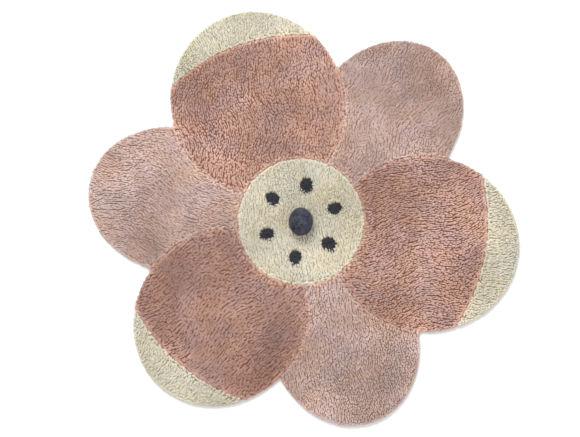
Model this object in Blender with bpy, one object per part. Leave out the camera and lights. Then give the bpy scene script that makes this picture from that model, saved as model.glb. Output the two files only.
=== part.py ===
"""A tufted wool rug in the shape of a flower, with a felt ball sewn on at its middle.

The rug is one piece: cut pile in several colours, tufted into one backing cloth.
Three petals lie on top of three others, and a round disc covers the middle. Along
every line where two colours meet, a groove is carved into the pile. The rug lies
flat, with its underside on the plane z = 0 and its box centred on the Z axis.
"""

import math
from collections import namedtuple

import bmesh
import bpy
from mathutils import Vector

# Driving dimensions in metres, and directions in degrees from +X
PILE_TOP = 0.018  # from the floor to the tips of the pile
BACKING = 0.003  # the cloth and its coating, under the pile
RIM_RADIUS = 0.009  # how far the pile rounds over at the rim
BACKING_INSET = 0.003  # the cloth ends this far inside the pile

Petal = namedtuple("Petal", "direction reach length width on_top")
PETALS = (
    Petal(direction=110, reach=0.650, length=0.550, width=0.515, on_top=True),
    Petal(direction=230, reach=0.645, length=0.545, width=0.500, on_top=True),
    Petal(direction=350, reach=0.655, length=0.555, width=0.520, on_top=True),
    Petal(direction=50, reach=0.648, length=0.520, width=0.425, on_top=False),
    Petal(direction=170, reach=0.640, length=0.520, width=0.430, on_top=False),
    Petal(direction=290, reach=0.634, length=0.520, width=0.440, on_top=False),
)
DISC_RADIUS = 0.188  # the round middle
TIP_SEAM = 0.556  # from the flower's middle to the seam across an upper petal's tip

SEAM_WIDTH = 0.012
SEAM_DEPTH = 0.005
SEAM_OVERRUN = 0.036  # a seam along a petal's flank is carved this far out past the rim
Groove = namedtuple("Groove", "aside depth")
GROOVE = (  # its section, in shares of half its width and of its depth
    Groove(aside=1.0, depth=0.0),
    Groove(aside=0.5, depth=0.75),
    Groove(aside=0.0, depth=1.0),
    Groove(aside=-0.5, depth=0.75),
    Groove(aside=-1.0, depth=0.0),
)

BALL_SIZE = Vector((0.072, 0.083, 0.076))  # before its base is pressed flat
BALL_FLAT = 0.006  # cut off its base
SEAT_RADIUS = 0.0295  # of the hollow that the ball presses into the pile
SEAT_DEPTH = 0.004
GAP = 0.0003  # between the ball and the pile

# How finely the curves are drawn
OUTLINE_POINTS = 240
RIM_STEPS = 4
SEAM_STEP = 3  # degrees
BALL_SEGMENTS = 32
BALL_RINGS = 18
NOTCH_SHARPNESS = 60  # the higher, the less the notches between petals are rounded


def direction_vector(degrees):
    angle = math.radians(degrees)
    return Vector((math.cos(angle), math.sin(angle)))


def direction_of(point):
    return math.degrees(math.atan2(point.y, point.x))


def far_side(petal, degrees):
    """How far a petal reaches from the flower's middle in a direction, or 0 if it misses."""
    centre = petal.reach - petal.length / 2
    long_half, wide_half = petal.length / 2, petal.width / 2
    ray = direction_vector(degrees - petal.direction)
    square = (ray.x / long_half) ** 2 + (ray.y / wide_half) ** 2
    along = centre * ray.x / long_half**2
    rest = along**2 - square * ((centre / long_half) ** 2 - 1)
    if rest < 0:
        return 0.0
    return max(0.0, (along + math.sqrt(rest)) / square)


def rug_edge(degrees):
    """The furthest petal in a direction, with the notches between petals softly rounded."""
    reaches = [far_side(petal, degrees) for petal in PETALS]
    most = max(reaches)
    return most * sum((reach / most) ** NOTCH_SHARPNESS for reach in reaches) ** (1 / NOTCH_SHARPNESS)


def rug_outline():
    """Points round the rug, anticlockwise, with the flower's middle at 0, 0."""
    turns = [360 * step / OUTLINE_POINTS for step in range(OUTLINE_POINTS)]
    return [direction_vector(turn) * rug_edge(turn) for turn in turns]


def flower_middle():
    """Where the flower's middle lies when the rug's box is centred on the Z axis."""
    outline = rug_outline()
    xs = [point.x for point in outline]
    ys = [point.y for point in outline]
    return Vector((-(min(xs) + max(xs)) / 2, -(min(ys) + max(ys)) / 2))


def petal_point(petal, degrees):
    """A point on a petal's oval, by its angle round the oval from the petal's tip."""
    ray = direction_vector(degrees)
    along = direction_vector(petal.direction)
    across = Vector((-along.y, along.x))
    middle = along * (petal.reach - petal.length / 2)
    return middle + along * (ray.x * petal.length / 2) + across * (ray.y * petal.width / 2)


def flank_seam(petal, side):
    """The seam down one flank of an upper petal, from the rug's rim to the disc."""
    flank = [petal_point(petal, side * turn) for turn in range(0, 180, SEAM_STEP)]
    seam = []
    for point in flank:
        inside_rim = point.length < rug_edge(direction_of(point)) - SEAM_WIDTH / 4
        outside_disc = point.length > DISC_RADIUS - SEAM_WIDTH / 2
        if inside_rim and outside_disc:
            seam.append(point)
    outward = (seam[0] - seam[1]).normalized()
    return [seam[0] + outward * SEAM_OVERRUN] + seam


def tip_seam(petal):
    """The seam across an upper petal's tip, drawn round the flower's middle."""
    half_turn = 0
    while far_side(petal, petal.direction + half_turn) > TIP_SEAM:
        half_turn += 1
    turns = range(-half_turn - 1, half_turn + 2)
    return [direction_vector(petal.direction + turn) * TIP_SEAM for turn in turns]


def disc_seam():
    """The seam round the disc, which ends where it starts."""
    return [direction_vector(turn) * DISC_RADIUS for turn in range(0, 360, 2 * SEAM_STEP)]


def material(name, colour, roughness):
    made = bpy.data.materials.new(name)
    made.use_nodes = True
    shader = made.node_tree.nodes["Principled BSDF"]
    shader.inputs["Base Color"].default_value = (*colour, 1.0)
    shader.inputs["Roughness"].default_value = roughness
    shader.inputs["Metallic"].default_value = 0.0
    return made


def object_from(name, form):
    """Turns a bmesh into an object of the scene and frees it."""
    bmesh.ops.recalc_face_normals(form, faces=form.faces)
    mesh = bpy.data.meshes.new(name)
    form.to_mesh(mesh)
    form.free()
    made = bpy.data.objects.new(name, mesh)
    bpy.context.scene.collection.objects.link(made)
    return made


def bridge(form, rings, closed):
    """Joins rings of vertices, each to the next, and the last to the first if closed."""
    pairs = list(zip(rings, rings[1:]))
    if closed:
        pairs.append((rings[-1], rings[0]))
    for one, other in pairs:
        for index in range(len(one)):
            after = (index + 1) % len(one)
            form.faces.new((one[index], one[after], other[after], other[index]))


def inset_outline(outline, inset):
    """The outline moved inwards, square to itself."""
    moved = []
    for index, point in enumerate(outline):
        along = outline[(index + 1) % len(outline)] - outline[index - 1]
        inwards = Vector((-along.y, along.x)).normalized()
        moved.append(point + inwards * inset)
    return moved


def rim_profile():
    """Pairs of inset and height up the rug's edge, from the backing to the pile's top."""
    profile = [(BACKING_INSET, 0.0), (BACKING_INSET / 3, BACKING), (0.0, PILE_TOP - RIM_RADIUS)]
    for step in range(1, RIM_STEPS + 1):
        turn = math.radians(90 * step / RIM_STEPS)
        inset = RIM_RADIUS * (1 - math.cos(turn))
        height = PILE_TOP - RIM_RADIUS * (1 - math.sin(turn))
        profile.append((inset, height))
    return profile


def slab(middle):
    """The whole rug before its grooves are carved."""
    form = bmesh.new()
    outline = rug_outline()
    rings = []
    for inset, height in rim_profile():
        ring = [form.verts.new((*(middle + point), height)) for point in inset_outline(outline, inset)]
        rings.append(ring)
    bridge(form, rings, closed=False)
    form.faces.new(reversed(rings[0]))
    form.faces.new(rings[-1])
    return object_from("rug", form)


def groove_cutter(name, path, middle, closed=False):
    """A bar along a seam whose lower side has the groove's shape. It stands above the pile."""
    half = SEAM_WIDTH / 2
    section = [(row.aside * half, PILE_TOP - row.depth * SEAM_DEPTH) for row in GROOVE]
    over = PILE_TOP + SEAM_DEPTH
    section = [(half, over), *section, (-half, over)]
    form = bmesh.new()
    rings = []
    for index, point in enumerate(path):
        before = path[index - 1] if closed or index else point
        after = path[(index + 1) % len(path)] if closed or index + 1 < len(path) else point
        along = (after - before).normalized()
        across = Vector((-along.y, along.x))
        places = [middle + point + across * aside for aside, height in section]
        ring = [form.verts.new((*place, row[1])) for place, row in zip(places, section)]
        rings.append(ring)
    bridge(form, rings, closed)
    if not closed:
        form.faces.new(rings[0])
        form.faces.new(reversed(rings[-1]))
    return cutter(object_from(name, form))


def seat_cutter(middle):
    """A short round bar that presses the ball's hollow into the pile."""
    form = bmesh.new()
    bmesh.ops.create_cone(
        form,
        cap_ends=True,
        segments=BALL_SEGMENTS,
        radius1=SEAT_RADIUS,
        radius2=SEAT_RADIUS,
        depth=2 * SEAT_DEPTH,
    )
    bmesh.ops.translate(form, verts=form.verts, vec=(*middle, PILE_TOP))
    return cutter(object_from("seat_cutter", form))


def cutter(made):
    made.hide_render = True
    made.display_type = "WIRE"
    return made


def carve(target, tool):
    cut = target.modifiers.new(tool.name, "BOOLEAN")
    cut.operation = "DIFFERENCE"
    cut.solver = "EXACT"
    cut.object = tool


def make_rug(middle):
    """The slab with a groove along every seam and a hollow under the ball."""
    rug = slab(middle)
    upper = [petal for petal in PETALS if petal.on_top]
    for number, petal in enumerate(upper, start=1):
        for side, word in ((1, "left"), (-1, "right")):
            path = flank_seam(petal, side)
            carve(rug, groove_cutter(f"flank_seam_{number}_{word}", path, middle))
        carve(rug, groove_cutter(f"tip_seam_{number}", tip_seam(petal), middle))
    carve(rug, groove_cutter("disc_seam", disc_seam(), middle, closed=True))
    carve(rug, seat_cutter(middle))
    rug.data.materials.append(material("rose wool pile", (0.33, 0.18, 0.14), 0.95))
    return rug


def make_ball(middle):
    """A ball of dark felt, a little longer than wide, pressed flat where it is sewn on."""
    form = bmesh.new()
    bmesh.ops.create_uvsphere(form, u_segments=BALL_SEGMENTS, v_segments=BALL_RINGS, radius=0.5)
    bmesh.ops.scale(form, verts=form.verts, vec=BALL_SIZE)
    base = BALL_FLAT - BALL_SIZE.z / 2
    everything = form.verts[:] + form.edges[:] + form.faces[:]
    cut = bmesh.ops.bisect_plane(
        form, geom=everything, plane_co=(0, 0, base), plane_no=(0, 0, 1), clear_inner=True
    )
    rim = [part for part in cut["geom_cut"] if isinstance(part, bmesh.types.BMEdge)]
    bmesh.ops.contextual_create(form, geom=rim)
    height = PILE_TOP - SEAT_DEPTH + GAP - base
    bmesh.ops.translate(form, verts=form.verts, vec=(*middle, height))
    ball = object_from("felt_ball", form)
    ball.data.shade_smooth()
    ball.data.set_sharp_from_angle(angle=math.radians(40))
    ball.data.materials.append(material("dark grey felt", (0.055, 0.055, 0.075), 0.95))
    return ball


def main():
    for old in list(bpy.data.objects):
        bpy.data.objects.remove(old, do_unlink=True)
    middle = flower_middle()
    make_rug(middle)
    make_ball(middle)


main()
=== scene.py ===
# %% [markdown]
# # A flower-shaped wool rug, tuft by tuft
#
# The real object is a nursery rug: short wool yarns are punched through a cotton
# cloth in rows, cut level, and carved along every line where two colours meet.
# A felt ball is sewn on top. The solids that carry it all come from the frame,
# and this lesson dresses them. It goes from the layout on the cloth to the rows
# of tufts, then to the ball, and ends with the floor, the light and the camera.

# %% Load the frame
import math
from collections import namedtuple

import bmesh
import bpy
import numpy as np
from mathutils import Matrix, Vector, kdtree, noise


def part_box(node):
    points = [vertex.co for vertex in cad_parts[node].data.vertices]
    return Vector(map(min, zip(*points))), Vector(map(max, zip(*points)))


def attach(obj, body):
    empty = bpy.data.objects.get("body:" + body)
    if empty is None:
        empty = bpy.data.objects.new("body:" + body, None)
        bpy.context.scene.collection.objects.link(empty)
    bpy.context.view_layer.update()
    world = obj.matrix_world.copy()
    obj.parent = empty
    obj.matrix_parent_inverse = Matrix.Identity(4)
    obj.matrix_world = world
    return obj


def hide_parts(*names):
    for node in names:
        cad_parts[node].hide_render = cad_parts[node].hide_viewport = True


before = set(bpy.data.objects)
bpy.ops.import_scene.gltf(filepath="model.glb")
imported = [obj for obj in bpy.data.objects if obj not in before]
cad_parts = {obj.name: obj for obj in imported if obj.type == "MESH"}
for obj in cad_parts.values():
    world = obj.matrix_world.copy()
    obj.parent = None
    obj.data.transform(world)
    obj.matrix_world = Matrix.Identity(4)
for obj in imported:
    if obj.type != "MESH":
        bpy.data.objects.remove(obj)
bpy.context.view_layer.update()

rug_low, rug_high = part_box("rug")
ball_low, ball_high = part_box("felt_ball")
print("rug", [round(b - a, 4) for a, b in zip(rug_low, rug_high)])
print("ball", [round(b - a, 4) for a, b in zip(ball_low, ball_high)])

# %% [markdown]
# ## Where each colour lies
#
# A rug maker draws the design on the backing cloth first. Here the drawing is a
# few formulas: six ovals for the petals, a circle for the middle and an arc
# across the tips of the upper petals. A painted image could hold the same, but
# formulas stay sharp at any size, and every later step can ask them which colour
# a point has and how far it is from an edge.

# %% The petals and the rug's edge
Petal = namedtuple("Petal", "direction reach length width on_top")
PETALS = (
    Petal(direction=110, reach=0.650, length=0.550, width=0.515, on_top=True),
    Petal(direction=230, reach=0.645, length=0.545, width=0.500, on_top=True),
    Petal(direction=350, reach=0.655, length=0.555, width=0.520, on_top=True),
    Petal(direction=50, reach=0.648, length=0.520, width=0.425, on_top=False),
    Petal(direction=170, reach=0.640, length=0.520, width=0.430, on_top=False),
    Petal(direction=290, reach=0.634, length=0.520, width=0.440, on_top=False),
)
DISC_RADIUS = 0.188
TIP_SEAM = 0.556  # from the middle to the seam across an upper petal's tip
NOTCH_SHARPNESS = 60  # the higher, the less the notches between petals are rounded
PILE_TOP = rug_high[2]
MIDDLE = np.array([(ball_low[i] + ball_high[i]) / 2 for i in (0, 1)])  # the flower's


def heading(angle):
    """Unit vectors, one row for each angle in radians."""
    return np.stack([np.cos(angle), np.sin(angle)], -1)


def across(way):
    """The way at right angles, to the left, of one way or of a row of them."""
    return np.stack([-way[..., 1], way[..., 0]], -1)


def far_side(petal, angle):
    """How far a petal reaches from the middle in each direction, or 0 where it misses."""
    centre = petal.reach - petal.length / 2
    long_half, wide_half = petal.length / 2, petal.width / 2
    ray = heading(angle - math.radians(petal.direction))
    square = (ray[..., 0] / long_half) ** 2 + (ray[..., 1] / wide_half) ** 2
    along = centre * ray[..., 0] / long_half**2
    rest = along**2 - square * ((centre / long_half) ** 2 - 1)
    return np.where(rest > 0, np.maximum(0, along + np.sqrt(np.maximum(rest, 0))) / square, 0)


def rug_edge(angle):
    """The furthest petal in each direction, with the notches softly rounded."""
    reaches = np.stack([far_side(petal, angle) for petal in PETALS])
    most = reaches.max(0)
    return most * ((reaches / most) ** NOTCH_SHARPNESS).sum(0) ** (1 / NOTCH_SHARPNESS)


tips = rug_edge(np.radians([petal.direction for petal in PETALS]))
print("from the middle to the petals' tips", tips.round(3))


# %% The colour at each point
def on_petal(points, petal):
    """Whether points, measured from the middle, lie inside a petal's oval."""
    along = heading(math.radians(petal.direction))
    ahead = (points @ along - petal.reach + petal.length / 2) / (petal.length / 2)
    aside = points @ across(along) / (petal.width / 2)
    return ahead**2 + aside**2 < 1


KINDS = ("cream", "deep", "pale", "charcoal")
CREAM, DEEP, PALE, CHARCOAL, OFF = range(5)  # the kinds' numbers, and one for no pile


def colour_of(points):
    """CREAM, DEEP, PALE or OFF for points measured from the middle."""
    reach = np.linalg.norm(points, axis=1)
    upper = np.any([on_petal(points, petal) for petal in PETALS if petal.on_top], 0)
    inside = reach < rug_edge(np.arctan2(points[:, 1], points[:, 0]))
    cream = (reach < DISC_RADIUS) | (upper & (reach > TIP_SEAM))
    return np.select([~inside, cream, upper], [OFF, CREAM, DEEP], PALE)


SAMPLES, SAMPLE_HALF = 40000, 0.66  # points in a square round the rug, and half its side
sample = np.random.default_rng(1).uniform(-SAMPLE_HALF, SAMPLE_HALF, (SAMPLES, 2))
sampled = colour_of(sample)
share = np.bincount(sampled)[:CHARCOAL] / (sampled != OFF).sum()
print("share of cream, deep rose and pale rose", share.round(3))

# %% [markdown]
# ## The lines that the carver follows
#
# Tufts near a line behave differently: they lean into the carved groove or out
# over the rim. So the lines are drawn once, as evenly spaced points, and put in
# a k-d tree that answers "how far is the nearest line, and which way?" in
# microseconds. A distance formula for each curve would be exact, but the tree
# takes any line, whatever its shape.

# %% How each line runs
LINE_STEP = 0.003  # between points along a line
TURN_STEPS = 1441  # round a full turn, one for each quarter of a degree
FLANK_STEPS = 361  # along one flank of a petal, from tip to inner end
TIP_TURN, TIP_STEPS = 40, 321  # degrees to each side of a petal, more than any tip seam takes


def spaced(path, step):
    """Points every step along a path of points, first to last."""
    lengths = np.linalg.norm(np.diff(path, axis=0), axis=1)
    at = np.concatenate([[0], np.cumsum(lengths)])
    wanted = np.linspace(0, at[-1], max(2, round(at[-1] / step) + 1))
    return np.stack([np.interp(wanted, at, path[:, i]) for i in (0, 1)], 1)


def petal_oval(petal, side):
    """One flank of a petal's oval, from its tip to its inner end."""
    turn = np.radians(np.linspace(0, 180, FLANK_STEPS)) * side
    along = heading(math.radians(petal.direction))
    ahead = petal.reach - petal.length / 2 + petal.length / 2 * np.cos(turn)
    return np.outer(ahead, along) + np.outer(petal.width / 2 * np.sin(turn), across(along))


def flank_seam(petal, side):
    """The part of a flank that runs inside the rug and outside the disc."""
    flank = petal_oval(petal, side)
    reach = np.linalg.norm(flank, axis=1)
    edge = rug_edge(np.arctan2(flank[:, 1], flank[:, 0]))
    return flank[(reach < edge - LINE_STEP / 2) & (reach > DISC_RADIUS)]


def tip_seam(petal):
    """The arc across a petal's tip, from flank to flank."""
    turn = np.radians(petal.direction + np.linspace(-TIP_TURN, TIP_TURN, TIP_STEPS))
    return heading(turn[far_side(petal, turn) > TIP_SEAM]) * TIP_SEAM


print("points before they are spaced, on one flank", len(flank_seam(PETALS[0], 1)))

# %% Seams and rim
full_turn = np.radians(np.linspace(0, 360, TURN_STEPS))
rim_line = spaced(heading(full_turn) * rug_edge(full_turn)[:, None], LINE_STEP)
cream_seams = [spaced(heading(full_turn) * DISC_RADIUS, LINE_STEP)]
rose_seams = []
for petal in PETALS:
    if petal.on_top:
        cream_seams.append(spaced(tip_seam(petal), LINE_STEP))
        rose_seams += [spaced(flank_seam(petal, side), LINE_STEP) for side in (1, -1)]
seam_lines = cream_seams + rose_seams
print("metres of seam", round(sum(len(line) - 1 for line in seam_lines) * LINE_STEP, 2))


# %% The nearest line to any point
def tree_of(points):
    """A k-d tree of flat points."""
    tree = kdtree.KDTree(len(points))
    for index, (x, y) in enumerate(points):
        tree.insert((x, y, 0), index)
    tree.balance()
    return tree


def nearest(tree, points):
    """Each point's distance to the nearest line, the way there, and that line point's number."""
    found = [tree.find((x, y, 0)) for x, y in points]
    towards = np.array([spot[:2] for spot, _, _ in found]) - points
    away = np.array([distance for _, _, distance in found])
    which = np.array([index for _, index, _ in found])
    return away, towards / np.maximum(away, 1e-6)[:, None], which


rim_tree = tree_of(rim_line)
seam_points = np.concatenate(seam_lines)
seam_tree = tree_of(seam_points)
print("points on the rim", len(rim_line), "and on seams", len(seam_points))

# %% [markdown]
# ## How high the pile stands
#
# The shears leave the pile level, rounded over at the rim and cut down to a
# groove at each seam. The same height serves every tuft, so it is one function
# of the two distances. Unevenness comes from a few crossed waves: smooth like
# noise, but as quick as plain arithmetic.

# %% Height and unevenness
RIM_RADIUS = 0.009
SEAM_WIDTH, SEAM_DEPTH = 0.012, 0.005
FLUFFED = 0.5  # of a groove's depth, filled by the wool that opens into it
WAVE_LENGTHS = (0.75, 1.5)  # least and most, as shares of the length asked for


def waves(points, length, seed, count=7):
    """Smooth unevenness, mostly between -1 and 1, with humps about length apart."""
    rng = np.random.default_rng(seed)
    turn = rng.uniform(0, 2 * np.pi, count)
    pitch = 2 * np.pi / (length * rng.uniform(*WAVE_LENGTHS, count))
    start = rng.uniform(0, 2 * np.pi, count)
    return np.sin(points @ (heading(turn) * pitch[:, None]).T + start).sum(-1) / math.sqrt(count)


def nearness(distance, reach):
    """1 on a line, falling to 0 at reach from it."""
    return np.clip(1 - distance / reach, 0, 1)


def pile_height(to_rim, to_seam):
    """The top of the pile by the distances to the rim and to the nearest seam."""
    over = np.clip(RIM_RADIUS - to_rim, 0, RIM_RADIUS)
    rounding = RIM_RADIUS - np.sqrt(RIM_RADIUS**2 - over**2)
    groove = SEAM_DEPTH * nearness(to_seam, SEAM_WIDTH / 2)
    return PILE_TOP - rounding - (1 - FLUFFED) * groove


at_seam, on_rim = pile_height(1.0, 0.0), pile_height(0.0, 1.0)
print("pile at a seam", round(float(at_seam), 4), "and on the rim", round(float(on_rim), 4))

# %% [markdown]
# ## Rows of tufts
#
# A tufter first follows each line of the drawing, then fills the area with rows
# side by side. No row is straight: the hand wanders, and the rows wander
# together. Scattering tufts at random would look like grass, and a plain grid
# would look like a brush. So each area gets a grid of rows that is bent by
# slow waves, and other rows follow the lines.

# %% The rows of each area
# Between rows, between the tufts of a row, a tuft's radius, and how far a row bends
Rows = namedtuple("Rows", "pitch spacing wide wander")
ROWS = {
    CREAM: Rows(pitch=0.0046, spacing=0.0072, wide=0.0026, wander=0.010),
    DEEP: Rows(pitch=0.0055, spacing=0.0086, wide=0.0028, wander=0.013),
    PALE: Rows(pitch=0.0049, spacing=0.0077, wide=0.0025, wander=0.011),
}
WOBBLE_STEP, WOBBLE = 0.020, 0.12  # along a row, and aside as a share of the pitch
TOGETHER = (1.0, 0.3)  # neighbouring rows bend alike, so their pitch stays even
BEND, SMALL_BEND, SMALL_SHARE = 0.21, 0.06, 0.15  # the waves' lengths, and the small ones' share
STRAY = 0.15  # of the spacing and the pitch, from a tuft's place in the row
MORE_ROWS = 3  # wanders past the area, so that no bend leaves a corner bare
Area = namedtuple("Area", "colour petal rows_run")
DISC = -1  # in place of a petal's number
AREAS = (
    Area(CREAM, DISC, rows_run=96),
    Area(DEEP, 0, rows_run=98),
    Area(DEEP, 1, rows_run=222),
    Area(DEEP, 2, rows_run=12),
    Area(PALE, 3, rows_run=64),
    Area(PALE, 4, rows_run=158),
    Area(PALE, 5, rows_run=282),
    Area(CREAM, 0, rows_run=118),
    Area(CREAM, 1, rows_run=240),
    Area(CREAM, 2, rows_run=-8),
)
LINE_INSET = 0.0042  # from a line to the row that follows it
FILL_GAP = 0.3  # of a row's pitch, kept free between that row and the ones that fill the area
print("rows a metre", {KINDS[kind]: round(1 / rows.pitch) for kind, rows in ROWS.items()})


# %% Lay the rows and bend them
def owner_of(points):
    """The number of the petal that shows at each point, or DISC."""
    inside = np.stack([on_petal(points, petal) for petal in PETALS])
    return np.where(np.linalg.norm(points, axis=1) < DISC_RADIUS, DISC, inside.argmax(0))


def bent_rows(area, seed):
    """Places of rows that cover more than an area, and each place's heading and row number."""
    rows, rng = ROWS[area.colour], np.random.default_rng(seed)
    if area.petal == DISC:
        half, centre = DISC_RADIUS, np.zeros(2)
    else:
        petal = PETALS[area.petal]
        half = petal.length / 2
        centre = heading(math.radians(petal.direction)) * (petal.reach - half)
    reach = half + MORE_ROWS * rows.wander
    places, shifts = (np.arange(-reach, reach, step) for step in (rows.spacing, rows.pitch))
    grid = np.stack(np.meshgrid(places, shifts), -1)
    number = np.repeat(np.arange(len(shifts)), len(places))
    grid[..., 0] += rng.uniform(0, rows.spacing, (len(shifts), 1))
    slow = waves(grid * TOGETHER, BEND, seed + 1)
    slow = slow + SMALL_SHARE * waves(grid * TOGETHER, SMALL_BEND, seed + 2)
    knots = np.arange(-reach, reach + 2 * WOBBLE_STEP, WOBBLE_STEP)
    for row in grid:
        aside = rng.normal(0, WOBBLE * rows.pitch, len(knots))
        row[:, 1] += np.interp(row[:, 0], knots, aside)
    grid[..., 1] += slow * rows.wander
    turn = math.radians(area.rows_run)
    turned = np.array([[math.cos(turn), math.sin(turn)], [-math.sin(turn), math.cos(turn)]])
    run = (np.gradient(grid, axis=1) @ turned).reshape(-1, 2)
    grid += rng.normal(0, 1, grid.shape) * (rows.spacing * STRAY, rows.pitch * STRAY)
    return (grid @ turned).reshape(-1, 2) + centre, np.arctan2(run[:, 1], run[:, 0]), number


trial = bent_rows(AREAS[0], seed=0)[2]
print("rows laid over the disc", trial.max() + 1, "with", len(trial), "places")

# %% [markdown]
# ## What each tuft knows
#
# A tuft needs a root, a height, a lean, a heading, a width and a tone. They are
# kept as columns of one table, because Blender can store such columns on the
# points of a mesh, where Geometry Nodes and the material both read them.
# Making a Python object for each tuft would be slow and would say no more. The
# ball, the seeds and the dye beside the seams shape the columns, so they come first.

# %% The ball, the seeds and the rust dye
BALL_FLAT = 0.006  # of the ball's height, pressed flat at its base
ball_half = np.array([b - a for a, b in zip(ball_low, ball_high)]) / 2 + (0, 0, BALL_FLAT / 2)
ball_centre = np.array([*MIDDLE, ball_high[2] - ball_half[2]])
SEED_COUNT, SEED_RING = 6, 0.108
SEED_LENGTH, SEED_WIDTH = 0.038, 0.031
SEED_MARGIN = 0.003  # kept free inside and outside a seed's edge
SEED_START = 0.35  # of the step between seeds, from +X to the first


def seed_way(index):
    return heading(2 * np.pi * (index + SEED_START) / SEED_COUNT)


def in_seed(points):
    """Whether points lie in one of the charcoal seeds that ring the ball, or too near it."""
    found = np.zeros(len(points), bool)
    for index in range(SEED_COUNT):
        out = seed_way(index)
        off = points - out * SEED_RING
        ahead = off @ out / (SEED_LENGTH / 2 + SEED_MARGIN)
        aside = off @ across(out) / (SEED_WIDTH / 2 + SEED_MARGIN)
        found |= ahead**2 + aside**2 < 1
    return found


def off_ball(points):
    """How far points lie from the ball's middle, where 1 is the ball's outline."""
    return np.linalg.norm(points / ball_half[:2], axis=1)


RUST_REACH = 0.026  # the warm band beside a seam
RUST_ON_CREAM, CREAM_REACH = 0.30, 0.009  # a little of that dye has run into the cream
RUST_SLOPE = 1.5  # the band keeps its full dye for a third of its reach
RUST_TAKEN = (0.4, 1.0)  # least and most that a tuft took of it
RUST_AT_CREAM, RUST_AT_ROSE = 0.9, 0.25  # by the seam that the band lies beside
RUST_AT_NOTCH, NOTCH_REACH = 0.8, 0.035  # where a seam runs out at the rim
at_cream = np.arange(len(seam_points)) < sum(map(len, cream_seams))
rust_share = np.where(at_cream, RUST_AT_CREAM, RUST_AT_ROSE)
to_notch = nearest(rim_tree, seam_points)[0]
rust_share = np.maximum(rust_share, RUST_AT_NOTCH * np.exp(-to_notch / NOTCH_REACH))
print("half the ball's size", ball_half.round(4), "seeds", SEED_COUNT)
print("share of rust", rust_share.min().round(2), "to", rust_share.max().round(2))

# %% How tufts stand and differ
BED_TOP = 0.0128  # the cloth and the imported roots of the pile
ROOT_DEPTH = 0.0015  # a tuft starts this far inside the bed
ROOT_DROP, DROP_REACH = 0.0035, 0.010  # roots start lower at the rim
SKIRT_INSET, SKIRT_ROOT, SKIRT_TOP = 0.0062, 0.0045, 0.0100  # of the low row on the rim
LEAST_RISE = 0.002
TOP_SPREAD, TOP_WAVE, TOP_WAVE_LENGTH = 0.0008, 0.0006, 0.09  # how unevenly the shears cut
BALL_CLEARANCE = 0.0004

LEAN, LEAN_SPREAD = 0.0062, 0.0010  # of a tip, along its row
LEAN_WAVE, LEAN_WAVE_LENGTH = 0.0016, 0.16
LEAN_TO_SEAM, SEAM_PULL = 0.0042, 0.011  # and from how far a seam pulls
LEAN_TO_RIM, RIM_PULL = 0.0065, 0.013
SEAM_ROOM, RIM_ROOM, ROOM_SPREAD = 0.0025, 0.0015, 0.0011  # a tip stays on its own side
TURN_SPREAD = 0.20  # radians

OPENED = 0.012  # a tuft this near a seam has room to open
WIDER_AT_RIM, WIDER_AT_SEAM, WIDTH_SPREAD, WIDTH_LIMITS = 0.2, 0.30, 0.12, (0.7, 1.6)
# Tufts near the rim get a lighter tone: painted sheen, of fibres seen from the side
PAINTED_RIM_SHEEN, TONE_SPREAD, TONE_LIMITS = 0.9, 0.45, (-1, 1.6)
print("tips lean", LEAN, "m, of a pile", round(PILE_TOP, 4), "m high")

# %% One table of tufts
LEAN_SEED, TOP_SEED, TUFT_SEED = 31, 32, 7  # for random numbers
rng = np.random.default_rng(TUFT_SEED)


def held_back(lean, way, room):
    """Leans that reach no further than room in the direction way."""
    over = (lean * way).sum(1) - room
    return lean - way * np.clip(over, 0, None)[:, None]


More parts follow.
